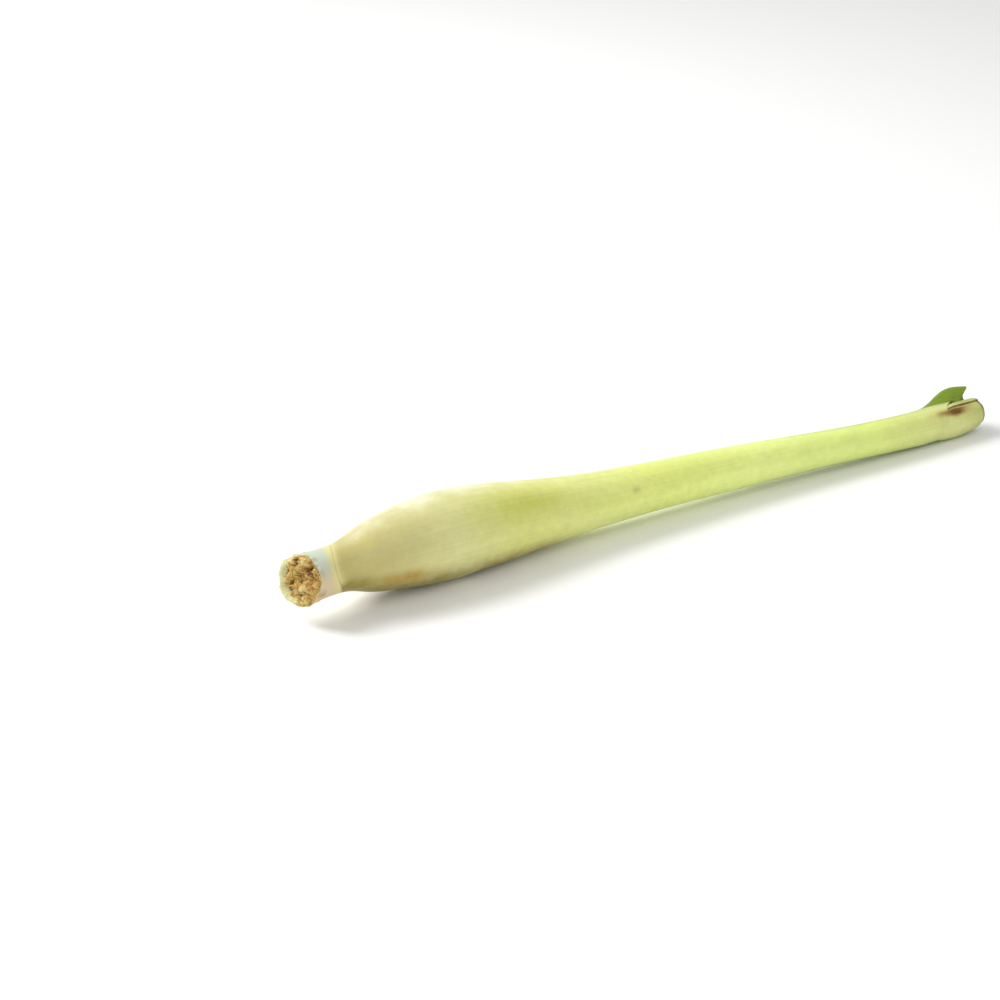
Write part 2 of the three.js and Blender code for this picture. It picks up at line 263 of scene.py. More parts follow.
def secondRadius(s, angle):
    room, overlap = sheathRoom(s, angle)
    inside = mouthAt(angle) - s
    near = (1 - smooth(inside, 0.5, 6)) * (1 - overlap * (inside > 0))
    room = mix(room, inner["underEdge"], near)
    away = np.abs(angleFrom(angle, outer["bladeMiddle"]))
    underBlade = 1 - smooth(away, outer["bladeHalf"], outer["bladeHalf"] + 12)
    room = mix(room, inner["proud"], smooth(-inside, 0, 3.5) * (1 - 0.7 * underBlade))
    return stalkRadius(s) - room + inner["ribDepth"] * ribs(angle, inner["ribs"], 0.4)


def thirdRadius(s, angle):
    room = sheathRoom(s, angle)[0]
    room = mix(room, inner["proud"], smooth(s, outer["mouthHigh"] + 0.5, outer["mouthHigh"] + 5))
    margin = inner["secondMargin"]
    overlap = band(angle, margin - outer["overlap"], margin + outer["tuck"])
    return stalkRadius(s) - room - inner["wall"] - outer["gap"] - overlap * overlapRoom(inner["wall"])


def rollRadius(s, angle):
    return thirdRadius(s, angle) - inner["wall"] - 0.2


# A mesh object from points in millimetres, faces and named values at the points
def makePiece(name, points, faces, values, node, sharpAngle=50):
    mesh = bpy.data.meshes.new(name)
    mesh.from_pydata((points * mm).tolist(), [], faces)
    shape = bmesh.new()
    shape.from_mesh(mesh)
    bmesh.ops.recalc_face_normals(shape, faces=shape.faces)
    shape.to_mesh(mesh)
    shape.free()
    for key, numbers in values.items():
        mesh.attributes.new(key, "FLOAT", "POINT").data.foreach_set("value", np.asarray(numbers, np.float32))
    mesh.shade_smooth()
    mesh.set_sharp_from_angle(angle=math.radians(sharpAngle))
    piece = bpy.data.objects.new(name, mesh)
    bpy.context.collection.objects.link(piece)
    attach(piece, "root")
    if node:
        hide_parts(node)
    print("made", name, len(faces), "faces")
    return piece


# Quads between neighbouring rows of a grid whose first point has number start
def gridFaces(rows, columns, start=0, closed=False):
    across = np.arange(columns if closed else columns - 1)
    a = start + np.arange(rows - 1)[:, None] * columns + across[None, :]
    b = start + np.arange(rows - 1)[:, None] * columns + (across[None, :] + 1) % columns
    return np.stack([a, b, b + columns, a + columns], -1).reshape(-1, 4).tolist()


# A rolled leaf from its outer and inner face, both grids of points. Its cut ends have a row of flesh between
def leafPiece(name, outside, inside, values, node):
    rows, columns = outside.shape[:2]
    startMiddle = (outside[0] + inside[0]) / 2
    endMiddle = (outside[-1] + inside[-1]) / 2
    endMiddle[:, 0] -= 0.12  # the flesh has shrunk back a little
    points = np.concatenate([outside.reshape(-1, 3), inside.reshape(-1, 3), startMiddle, endMiddle])
    count = rows * columns
    faces = gridFaces(rows, columns) + gridFaces(rows, columns, count)
    for i in range(rows - 1):
        for j in (0, columns - 1):
            a = i * columns + j
            faces.append([a, a + columns, count + a + columns, count + a])
    for first, middle in ((0, 2 * count), (count - columns, 2 * count + columns)):
        for j in range(columns - 1):
            faces.append([first + j, first + j + 1, middle + j + 1, middle + j])
            faces.append([middle + j, middle + j + 1, count + first + j + 1, count + first + j])
        for j in (0, columns - 1):
            faces.append([first + j, middle + j, count + first + j])
    spread = {}
    for key, grid in values.items():
        grid = np.broadcast_to(grid, (rows, columns))
        spread[key] = np.concatenate([grid.ravel(), grid.ravel(), grid[0], grid[-1]])
    flat = np.zeros((rows, columns)).ravel()
    ones = np.ones(columns)
    spread["flesh"] = np.concatenate([flat, flat, ones, ones])
    spread["lining"] = np.concatenate([flat, flat + 1, ones, ones])
    return makePiece(name, points, faces, spread, node)


# Both faces of a sheath. Turn runs from 0 at its upper margin to 360 and on under the overlap
def sheathFaces(s, margin, radiusAt, wall, first, last, steps, tuckDepth):
    turn = mix(first, last, np.linspace(0, 1, steps + 1)[None, :])
    angle = margin - turn
    s = s - ringPull(s, angle)
    dip = tuckDepth * smooth(turn, 360 - outer["tuck"], 360)
    fromMargin = np.minimum(turn, 360 + outer["overlap"] - turn)
    thick = smooth(fromMargin, outer["overlap"] * 0.9, outer["overlap"] + outer["tuck"])
    thick = mix(outer["marginWall"], wall, thick)
    radius = radiusAt(s, angle) - dip
    toEdge = np.radians(np.minimum(turn - first, last - turn)) * radius
    return s, angle, radius, np.minimum(thick, outer["edgeWall"] + outer["edgeSlope"] * toEdge)


# Marks in the skin, and painted light (a highlight along the top of the bulb, shade low on the bulb):
# strength, s, angle, half length in mm and half width in degrees
outerMarks = {
    "brown": [
        (0.9, 103, 61, 1, 11), (0.3, 62, 20, 0.8, 4), (0.4, 151, 95, 0.9, 5), (0.5, 217, 32, 3, 9),
        (1.1, 221.3, 34, 3.2, 15)],
    "blush": [
        (1.1, 25.5, 109, 8, 14), (0.35, 60, 128, 24, 25), (1.2, 218, 34, 6, 15), (0.4, 36, 250, 20, 40)],
    # a pale band along the top of the bulb: a painted highlight
    "paintedHighlight": [(1, 42, -14, 40, 34)],
    # a darker patch low on the front by the ring: painted shade
    "under": [(0.6, 14, 103, 9, 20)],
    "lime": [(0.9, 65, 42, 17, 26), (0.5, 90, 75, 18, 24), (0.5, 128, 30, 18, 30)],
}
secondMarks = {
    "brown": [(1.1, 221.3, 34, 3.2, 16), (0.55, 226, 25, 5, 6), (0.9, 226, 13, 6, 5), (0.9, 226, -5, 5, 13)],
    "blush": [(1.3, 222, 33, 7, 18)],
}


# The marks of one kind, soft-edged and added up
def spots(s, angle, marks):
    total = 0 * s * angle
    for strength, at, middle, long, wide in marks:
        across = angleFrom(angle, middle) / wide
        total = total + strength * np.exp(-((s - at) / long) ** 2 - across ** 2)
    return total


# The sheaths are palest on the front and greener round the back: partly their own greener colour, partly
# painted shade that dulls the top edge and darkens the lower edge of the slim part
def awayFromFront(angle):
    return smooth(np.abs(angleFrom(angle, 60)), 45, 110)


# Where the outer leaf's sheath turns into its green blade
def bladeGreen(s, angle):
    past = angleFrom(angle, outer["bladeMiddle"])
    front = mix(outer["greenFront"], outer["bladeHalf"] + outer["greenPast"], smooth(s, 210, 219))
    front = mix(outer["greenFoot"], front, smooth(s, 190, 208))
    back = smooth(past, mix(-30, -80, smooth(s, 190, 214)), -18)
    return smooth(s, 186, 215) * (1 - smooth(past - front, -10, 2)) * back


def outerTints(s, angle):
    tints = {key: spots(s, angle, marks) for key, marks in outerMarks.items()}
    # the bulb darkens on its underside towards the base: painted shade
    turn = angle % 360
    shadedUnderside = smooth(turn, 90, 140) * (1 - smooth(turn, 200, 260))
    tints["under"] = tints["under"] + shadedUnderside * (1 - smooth(s, 50, 100))
    # greener and darker round the back of the slim part: its own greener colour with painted shade
    tints["greenAndShade"] = smooth(s, 95, 200) * awayFromFront(angle)
    tints["blade"] = bladeGreen(s, angle)
    return {key: np.clip(tint, 0, 1) for key, tint in tints.items()}


def makeOuterLeaf():
    stretches = ((outer["start"], 20, 0.5), (20, 204, 1.5), (204, 213, 0.7), (213, outer["bladeEnd"], 0.3))
    leafS = stations(*stretches)[:, None]
    margin = outerMargin(leafS)
    midrib = margin - outer["bladeMiddle"]
    opening = mouthOpening(leafS)
    first = mix(0, midrib - outer["bladeHalf"], opening)
    last = mix(360 + outer["overlap"], midrib + outer["bladeHalf"], opening)
    tuckDepth = outer["marginWall"] + outer["gap"]
    s, angle, radius, thick = sheathFaces(
        leafS, margin, outerRadius, wallAt(leafS), first, last, outer["columns"], tuckDepth)
    thick = np.minimum(thick, mix(2, outer["mouthWall"], towardsMouth(s, angle)))
    thick = np.minimum(thick, mix(2, outer["bladeWall"], smooth(s, 207, 217)))
    # the blade's cut is ragged and slants back to its front edge
    slant = -outer["cutSlant"] * smooth(angleFrom(angle, outer["bladeMiddle"]), 6, outer["bladeHalf"])
    torn = 0.25 * np.sin(np.radians(angle) * 13) + 0.15 * np.sin(np.radians(angle) * 31 + 1)
    along = s + (slant + torn) * smooth(s, 222, outer["bladeEnd"])
    values = {"along": leafS, "around": angle, **outerTints(s, angle)}
    outside = place(along, angle, radius)
    inside = place(along, angle, radius - thick)
    return leafPiece("outer_leaf_skin", outside, inside, values, "outer_leaf")


def makeSecondLeaf():
    leafS = stations((inner["secondStart"], 200, 4), (200, inner["secondEnd"], 0.4))[:, None]
    margin = inner["secondMargin"] + 0 * leafS
    last = 360 + outer["overlap"] + 0 * leafS
    tuckDepth = mix(outer["marginWall"] + outer["gap"], inner["tuckDepth"], smooth(leafS, 205, 215))
    s, angle, radius, thick = sheathFaces(
        leafS, margin, secondRadius, inner["wall"], 0 * leafS, last, inner["columns"], tuckDepth)
    onTop = np.abs(angleFrom(angle, 20)) < 48
    thick = np.minimum(thick, mix(2, inner["topWall"], smooth(s, 205, 215) * onTop))
    end = inner["secondEnd"]
    radius = radius - 0.4 * smooth(s, end - 2, end) ** 2
    tints = {key: spots(s, angle, marks) for key, marks in secondMarks.items()}
    tints["brown"] = tints["brown"] + 0.8 * smooth(s, end - 1.7, end - 0.3)
    # greener and darker round the back: its own colour with painted shade
    tints["greenAndShade"] = awayFromFront(angle)
    values = {"along": s, "around": angle, **{key: np.clip(tint, 0, 1) for key, tint in tints.items()}}
    outside = place(s, angle, radius)
    inside = place(s, angle, radius - thick)
    return leafPiece("second_leaf_skin", outside, inside, values, "second_leaf")


def makeThirdLeaf():
    s = stations((inner["thirdStart"], 200, 6), (200, inner["thirdEnd"], 1))[:, None]
    half = inner["thirdSlit"] / 2
    angle = inner["thirdSlitAt"] - np.linspace(half, 360 - half, inner["thirdColumns"] + 1)[None, :] + 0 * s
    radius = thirdRadius(s, angle) + 0.12
    outside = place(s, angle, radius)
    inside = place(s, angle, radius - inner["wall"] - 0.15)
    return leafPiece("third_leaf_skin", outside, inside, {}, "third_leaf")


# The youngest leaves as one sheet rolled up to a small hollow
def makeInnerRoll():
    s = stations((inner["rollStart"], 200, 8), (200, stalk["end"], 1.5))[:, None]
    turns = inner["rollTurns"]
    share = np.linspace(0, 1, inner["rollColumns"] + 1)[None, :]
    angle = inner["rollFrom"] - 360 * turns * share + 0 * s
    whole = rollRadius(s, angle)
    pitch = (1 - inner["rollHollow"]) / turns
    radius = whole * (1 - (1 - inner["rollHollow"]) * share * (turns - 1) / turns)
    outside = place(s, angle, radius)
    inside = place(s, angle, radius - whole * pitch * inner["rollFill"])
    return leafPiece("inner_roll_skin", outside, inside, {}, "inner_roll")


# The stem. Its lumps and pits are the solid's, made lower, with finer torn fibres and a few holes among them
stem = {
    "radius": 6.7,             # of the cut
    "around": 220,             # points round it, and rows of them on the face and down the side
    "faceRows": 84,
    "sideRows": 70,
    "ringStep": 0.09,
    "plugRadius": 4.6,
    "plug": [(16, 1), (20, 1), (25, 0.94), (27.5, 0.72), (29, 0.35)],  # (s, part of its radius)
    "cutTurn": 21,
    "cutRim": 0.55,
    "wideRimAt": 255,          # the angle where the pale rim is widest
    "lumps": 34,
    "pits": 14,
    "lumpShare": 0.6,
    "stubs": 11,
    "stubSize": 0.8,
    "fineMarks": 420,
    "holes": [                 # to the front, up, and radius, as parts of the stem's radius
        (0.45, 0.66, 0.07), (0.3, 0.13, 0.08), (0.26, -0.43, 0.1), (-0.42, -0.56, 0.08), (-0.46, -0.22, 0.07),
        (-0.12, -0.4, 0.06), (-0.3, 0.55, 0.06)],
    "holeDepth": 1.1,
    "rust": (0.6, 0.02, 0.28, 0.32),  # to the front, up, and half sizes
    "streakAt": 112,
}


# The same repeatable numbers that the solid's relief uses
def seeded(seed):
    state = [seed]

    def draw():
        state[0] = (state[0] * 1664525 + 1013904223) % 4294967296
        return state[0] / 4294967296
    return draw


draw = seeded(7)


def faceMarks(count, low, high):
    marks = []
    for _ in range(count):
        radius = math.sqrt(draw()) * 0.9
        turn = draw() * 2 * math.pi
        wide = mix(0.1, 0.2, draw())
        marks.append((radius * math.cos(turn), radius * math.sin(turn), wide, mix(low, high, draw())))
    return marks


lumps = faceMarks(stem["lumps"], 0.3, 1) + faceMarks(stem["pits"], -1.5, -0.7)
stubs = []
for stubNumber in range(stem["stubs"]):
    stubAngle = (stubNumber + 0.7 * draw()) * 360 / stem["stubs"]
    stubs.append((stubAngle, mix(0.9, 2.2, draw()), mix(0.25, 0.6, draw())))


# How far along the slanted cut lies
def cutAt(radius, angle):
    return math.tan(math.radians(stem["cutTurn"])) * radius * np.cos(np.radians(angle - ring["side"]))


# The cut's frayed outline, round 1
def ragged(angle):
    coarse = 0.03 * np.sin(np.radians(5 * angle + 60)) + 0.02 * np.sin(np.radians(11 * angle))
    return 1 + coarse + 0.012 * np.sin(np.radians(23 * angle)) + 0.008 * np.sin(np.radians(41 * angle + 30))


def faceRelief(part, angle):
    turn = np.radians(angle)
    away = (1 - np.cos(np.radians(angle - ring["side"]))) / 2
    height = stem["cutRim"] * away * smooth(part, 0.78, 0.92)
    x, y = part * np.sin(turn), part * np.cos(turn)
    for markX, markY, wide, high in lumps:
        mark = np.exp(-((x - markX) ** 2 + (y - markY) ** 2) / wide ** 2)
        height = height + stem["lumpShare"] * high * mark * (1 - smooth(part, 0.8, 1))
    return height


# Fibre ends and small pits, each a narrow ridge in its own direction
def fineRelief(part, angle):
    fine = np.random.default_rng(3)
    turn = np.radians(angle)
    x, y = part * np.sin(turn), part * np.cos(turn)
    height = 0 * x
    for _ in range(stem["fineMarks"]):
        radius = np.sqrt(fine.random()) * 0.93
        where = fine.random() * 2 * math.pi
        lean = fine.normal(-0.8, 0.5)
        long = fine.uniform(0.07, 0.22)
        wide = fine.uniform(0.014, 0.032)
        high = fine.uniform(0.12, 0.5) * (1 if fine.random() < 0.6 else -1)
        dx = x - radius * math.cos(where)
        dy = y - radius * math.sin(where)
        u = dx * math.cos(lean) + dy * math.sin(lean)
        v = dy * math.cos(lean) - dx * math.sin(lean)
        height = height + high * np.exp(-(u / long) ** 2 - (v / wide) ** 2)
    return height * (1 - smooth(part, 0.86, 0.98))


# Stubs of roots, set round the stem behind the cut
def stubRelief(behind, angle):
    height = 0 * behind * angle
    for stubAngle, stubBehind, stubHigh in stubs:
        across = np.radians(angleFrom(angle, stubAngle)) * stem["radius"]
        away = across ** 2 + (behind - stubBehind) ** 2
        height = height + stubHigh * np.exp(-away / stem["stubSize"] ** 2)
    return height


# The torn face from its middle out to the rim, and what its material reads there
def stemFace(angle):
    part = ((np.arange(stem["faceRows"]) + 1) / stem["faceRows"])[:, None]
    radius = stem["radius"] * part * ragged(angle)
    fromWide = (1 - np.cos(np.radians(angle - stem["wideRimAt"]))) / 2
    rimStart = mix(0.7, 0.94, smooth(fromWide, 0.05, 0.6))
    rim = smooth(part, rimStart, rimStart + 0.12)
    relief = faceRelief(part, angle)
    fine = fineRelief(part, angle) * (1 - 0.8 * rim)
    x = part * np.sin(np.radians(angle))
    y = part * np.cos(np.radians(angle))
    for holeX, holeY, wide in stem["holes"]:
        fine = fine - stem["holeDepth"] * np.exp(-((x - holeX) ** 2 + (y - holeY) ** 2) / wide ** 2)
    rustX, rustY, rustWide, rustHigh = stem["rust"]
    rust = np.exp(-((x - rustX) / rustWide) ** 2 - ((y - rustY) / rustHigh) ** 2)
    points = place(0 * radius, angle, radius)
    points[..., 0] += cutAt(radius, angle) - relief - fine
    return points, {"relief": relief + fine, "behind": 0 * relief - 1, "rim": rim, "streak": rust}


# The side behind the cut, up to the ring
def stemSide(angle):
    behind = (np.linspace(0.12, 1, stem["sideRows"]) ** 1.5 * ring["at"])[:, None]
    fromCut = smooth(behind, 0, ring["at"])
    s = behind + mix(cutAt(stem["radius"], angle), -ringPull(ring["at"], angle), fromCut)
    stub = stubRelief(behind, angle)
    frayed = mix(ragged(angle), 1, smooth(behind, 0, 2.5))
    groove = stem["ringStep"] * smooth(behind, ring["at"] - 0.4, ring["at"])
    points = place(s, angle, stalkRadius(s) * frayed + stub - groove)
    turn = angle % 360
    under = smooth(turn, 45, 85) * (1 - smooth(turn, 175, 230))
    streak = 0.6 * np.exp(-(angleFrom(turn, stem["streakAt"]) / 11) ** 2) * (1 - smooth(behind, 1.5, 5.5))
    return points, {"behind": behind, "stub": stub, "under": under, "streak": streak}


# The plug inside the bulb
def stemPlug(angle):
    s, part = np.array([(ring["at"] + 0.05, 1)] + stem["plug"]).T[..., None]
    points = place(s - ringPull(s, angle), angle, stem["plugRadius"] * part + 0 * angle)
    return points, {"behind": s}


def makeStem():
    around = stem["around"]
    angle = -360 * np.arange(around)[None, :] / around
    parts = [stemFace(angle), stemSide(angle), stemPlug(angle)]
    points = np.concatenate([grid for grid, marks in parts]).reshape(-1, 3)
    tips = np.array([parts[0][0][0].mean(0), parts[-1][0][-1].mean(0)])
    rows = len(points) // around
    faces = gridFaces(rows, around, closed=True)
    last = (rows - 1) * around
    for j in range(around):
        faces.append([j, (j + 1) % around, len(points)])
        faces.append([last + j, last + (j + 1) % around, len(points) + 1])
    values = {}
    for key in ("relief", "behind", "rim", "stub", "under", "streak"):
        grids = [np.broadcast_to(marks.get(key, 0), grid.shape[:2]) for grid, marks in parts]
        numbers = np.concatenate(grids).ravel()
        values[key] = np.append(numbers, [numbers[0], numbers[-1]])
    return makePiece("stem_cut", np.concatenate([points, tips]), faces, values, "stem_base", 80)


# Loose fibre ends that stand out of the torn face
fibres = {
    "count": 90,
    "sides": 5,
    "rows": 7,
    "length": (0.6, 1.3),
    "radius": (0.1, 0.24),
    "taper": 0.75,
    "forward": 0.45,           # how far each comes out, as part of its length
    "proud": 0.3,              # its root stands out of the face by this
}


def makeStrands():
    rng = np.random.default_rng(5)
    sides, rows = fibres["sides"], fibres["rows"]
    points, faces, pale = [], [], []
    for _ in range(fibres["count"]):
        part = math.sqrt(rng.random()) * 0.8
        angle = rng.random() * 360
        radius = stem["radius"] * part
        root = place(np.array(0.0), np.array(angle), np.array(radius))
        root[0] += cutAt(radius, angle) - faceRelief(np.array(part), np.array(angle)) + fibres["proud"]
        lean = rng.normal(0, 0.4, 2) + rng.choice([-0.6, 0.6])
        curl = rng.normal(0, 0.35, 2)
        long = rng.uniform(*fibres["length"])
        thick = rng.uniform(*fibres["radius"])
        tone = rng.random()
        start = len(points)
        for i in range(rows):
            t = i / (rows - 1)
            middle = root + long * t * np.array([-fibres["forward"], *(lean + curl * t)])
            width = thick * (1 - fibres["taper"] * t ** 1.5)
            for j in range(sides):
                turn = 2 * math.pi * j / sides
                points.append(middle + [0, width * math.cos(turn), width * math.sin(turn)])
                pale.append(tone)
        faces += gridFaces(rows, sides, start, closed=True)
        faces.append(list(range(start, start + sides)))
        faces.append(list(range(start + (rows - 1) * sides, start + rows * sides)))
    return makePiece("torn_fibres", np.array(points), faces, {"tone": pale}, None, 80)


# sRGB hex to Blender's linear colour
def colour(hexValue):
    parts = [int(hexValue[i:i + 2], 16) / 255 for i in (0, 2, 4)]
    return tuple(c / 12.92 if c <= 0.04045 else ((c + 0.055) / 1.055) ** 2.4 for c in parts) + (1,)


# Adds a node: inputs are sockets to link or values to set, by name or number
def add(tree, kind, inputs=None, **settings):
    node = tree.nodes.new("ShaderNode" + kind)
    for key, value in settings.items():
        setattr(node, key, value)
    for key, value in (inputs or {}).items():
        if isinstance(value, bpy.types.NodeSocket):
            tree.links.new(value, node.inputs[key])
        else:
            node.inputs[key].default_value = value
    return node


# Sets a ramp's stops from (place, hex colour) pairs
def setStops(ramp, stops):
    elements = ramp.color_ramp.elements
    for i, (at, hexValue) in enumerate(stops):
        stop = elements[i] if i < 2 else elements.new(at)
        stop.position = at
        stop.color = colour(hexValue)


def newMaterial(name):
    material = bpy.data.materials.new(name)
    material.use_nodes = True
    tree = material.node_tree
    tree.nodes.clear()
    return material, tree


def finishMaterial(tree, shade, bump, settings):
    shader = add(tree, "BsdfPrincipled", {"Base Color": shade, "Normal": bump, **settings})
    add(tree, "OutputMaterial", {"Surface": shader.outputs[0]})


# Leaf sheath: a smooth cuticle under a thin waxy coat, over fibres that run along it. The eye gets a soft,
# pale sheen on the fat part, with a painted highlight along its top, a clearer yellow-green on the slim one,
# and faint lengthwise streaks
sheathLook = {
    "alongStops": [            # (s, colour)
        (0, "dcd5a0"), (11.8, "d8cf92"), (13.2, "b9ae68"), (24, "c2ba78"), (42, "d5d290"), (65, "d9da7e"),
        (88, "dfe38c"), (112, "e0ea82"), (145, "e6f290"), (190, "dcea84"), (210, "d8de88"), (222, "d3d68a"),
        (233, "b4bb66")],
    "meanRadius": 7,           # mm, turns degrees round the stalk into a way across it
    "streaks": (40, 0.55),     # mm along and across a fibre bundle, and a wider streak
    "wideStreaks": (60, 2.4),
    "mottle": 9,               # mm across a cloud in the colour
    "speckle": 0.714,          # mm across a speck in the cut flesh
    # colour of the greener, darker back: the leaf's own green with painted shade
    "greenAndShade": "9fb23f",
    "lime": "bfc34a",
    # colour of the painted highlight along the top of the bulb
    "paintedHighlight": "e6e4c6",
    # colour of the painted shade on the bulb's underside
    "under": "8f8238",
    "flecks": 2.2,             # mm across the small flecks
    "blush": "b08c30",
    "brown": "644200",
    "blade": "6f8a08",
    "bladeDark": "4a5c08",
    "flesh": "e6ebb8",
    "lining": "c8d68a",
    "roughness": 0.36,
}


def waxySheath(name, look):
    material, tree = newMaterial(name)
    value = {key: add(tree, "Attribute", attribute_name=key).outputs["Fac"] for key in (
        "along", "around", "blade", "greenAndShade", "paintedHighlight", "under", "brown", "blush", "lime", "flesh", "lining")}
    share = add(tree, "Math", {0: value["along"], 1: stalk["end"]}, operation="DIVIDE").outputs[0]
    base = add(tree, "ValToRGB", {"Fac": share})
    setStops(base, [(at / stalk["end"], hexValue) for at, hexValue in look["alongStops"]])
    degree = math.radians(1) * look["meanRadius"]
    arc = add(tree, "Math", {0: value["around"], 1: degree}, operation="MULTIPLY").outputs[0]
    flat = add(tree, "CombineXYZ", {"X": value["along"], "Y": arc}).outputs[0]

    # noise drawn out along the leaf, for features of (length, width)
    def lengthwise(size, settings):
        stretch = add(tree, "VectorMath", {0: flat, 1: (1 / size[0], 1 / size[1], 1)}, operation="MULTIPLY")
        return add(tree, "TexNoise", {"Vector": stretch.outputs[0], "Scale": 1, **settings}).outputs["Fac"]

    streaks = lengthwise(look["streaks"], {"Detail": 3, "Roughness": 0.6})
    wideStreaks = lengthwise(look["wideStreaks"], {"Detail": 2})
    body = add(tree, "TexCoord").outputs["Object"]
    mottle = add(tree, "TexNoise", {"Vector": body, "Scale": 1000 / look["mottle"], "Detail": 4,
                                    "Roughness": 0.6}).outputs["Fac"]
    speckle = add(tree, "TexNoise", {"Vector": body, "Scale": 1000 / look["speckle"],
                                     "Detail": 2}).outputs["Fac"]

    # a value times a factor that noise swings between low and high
    def swung(value, noise, low, high):
        factor = add(tree, "MapRange", {"Value": noise, "From Min": 0.3, "From Max": 0.7, "To Min": low,
                                        "To Max": high}).outputs[0]
        return add(tree, "Math", {0: value, 1: factor}, operation="MULTIPLY").outputs[0]

    # each tint is laid over the last one, by a mask that noise breaks up
    def tint(under, over, mask, noise=None, start=0.0, end=1.0):
        if noise is not None:
            mask = swung(mask, noise, 0.45, 1.4)
        mask = add(tree, "MapRange", {"Value": mask, "From Min": start, "From Max": end},
                   interpolation_type="SMOOTHSTEP").outputs[0]
        return add(tree, "Mix", {0: mask, 6: under, 7: colour(over)}, data_type="RGBA").outputs[2]

    shade = base.outputs[0]
    # greener round the back, partly painted shade on the edges
    shade = tint(shade, look["greenAndShade"], value["greenAndShade"], wideStreaks, 0, 1)
    # painted highlight along the top of the bulb
    shade = tint(shade, look["paintedHighlight"], value["paintedHighlight"], mottle, 0, 1.6)
    # painted shade on the bulb's underside
    shade = tint(shade, look["under"], value["under"], mottle, 0, 1.15)
    shade = tint(shade, look["lime"], value["lime"], mottle, 0, 1.5)
    shade = tint(shade, look["blush"], value["blush"], mottle, 0.05, 1.4)
    flecks = add(tree, "TexNoise", {"Vector": body, "Scale": 1000 / look["flecks"],
                                    "Detail": 4}).outputs["Fac"]
    light = swung(swung(swung(1, streaks, 0.955, 1.03), mottle, 0.96, 1.03), flecks, 0.955, 1.035)
    shade = add(tree, "VectorMath", {0: shade, "Scale": light}, operation="SCALE").outputs[0]
    shade = tint(shade, look["lining"], value["lining"], None, 0, 1.6)
    shade = tint(shade, look["flesh"], value["flesh"], speckle, 0.2, 0.9)
    shade = tint(shade, look["blade"], value["blade"], wideStreaks, 0.1, 0.75)
    shade = tint(shade, look["bladeDark"], value["blade"], streaks, 0.9, 2)
    shade = tint(shade, look["brown"], value["brown"], mottle, 0.05, 1.15)
    relief = add(tree, "Math", {0: streaks, 1: speckle, 2: 0.3}, operation="MULTIPLY_ADD").outputs[0]
    bump = add(tree, "Bump", {"Height": relief, "Strength": 0.35, "Distance": 0.06 * mm}).outputs[0]
    finishMaterial(tree, shade, bump, {
        "Roughness": look["roughness"], "IOR": 1.45, "Subsurface Weight": 0.18,
        "Subsurface Radius": (1.0, 0.9, 0.35), "Subsurface Scale": 1.6 * mm, "Coat Weight": 0.12,
        "Coat Roughness": 0.3, "Coat IOR": 1.4})
    return material


# Young leaf tissue, freshly cut: moist and pale, each layer edged by a thin greener skin
youngLook = {"skin": "a9bd5c", "flesh": "e9edc4", "grain": 0.35, "roughness": 0.4}


def youngLeaf(name, look):
    material, tree = newMaterial(name)
    flesh = add(tree, "Attribute", attribute_name="flesh").outputs["Fac"]
    body = add(tree, "TexCoord").outputs["Object"]
    grain = add(tree, "TexNoise", {"Vector": body, "Scale": 1000 / look["grain"], "Detail": 3}).outputs["Fac"]
    mask = add(tree, "Math", {0: grain, 1: 0.5, 2: flesh}, operation="MULTIPLY_ADD").outputs[0]
    mask = add(tree, "MapRange", {"Value": mask, "From Min": 0.35, "From Max": 1}).outputs[0]
    shade = add(tree, "Mix", {0: mask, 6: colour(look["skin"]), 7: colour(look["flesh"])}, data_type="RGBA")
    bump = add(tree, "Bump", {"Height": grain, "Strength": 0.4, "Distance": 0.08 * mm})
    finishMaterial(tree, shade.outputs[2], bump.outputs[0], {
        "Roughness": look["roughness"], "IOR": 1.4, "Subsurface Weight": 0.2, "Subsurface Scale": 1.2 * mm,
        "Coat Weight": 0.2, "Coat Roughness": 0.2})
    return material


# Woody stem base, cut and torn. The eye gets dry tan fibres with dark pits inside a pale rim, and behind it a
# smooth collar with a bluish wax bloom
stemLook = {
    "faceStops": [             # (height in the relief, colour)
        (0, "35200a"), (0.2, "6a4616"), (0.4, "9c7632"), (0.58, "bb9a4a"), (0.78, "ccb46c"), (1, "d6c590")],
    "rust": "a8642c",
    "rim": "cccb98",
    "collar": "bfc6b2",
    "collarPink": "cfbf9c",
    "collarWarm": "d6cc8c",
    "stubColour": "c09a5c",
    "streak": "a3834c",
    "grain": 0.5,              # mm across a grain, and across a patch in the rim and the collar
    "patch": 2.6,
    "threads": (500, 450, 3200),  # fibres per metre along x, y and z, before they lean
    "threadLean": 0.9,
}


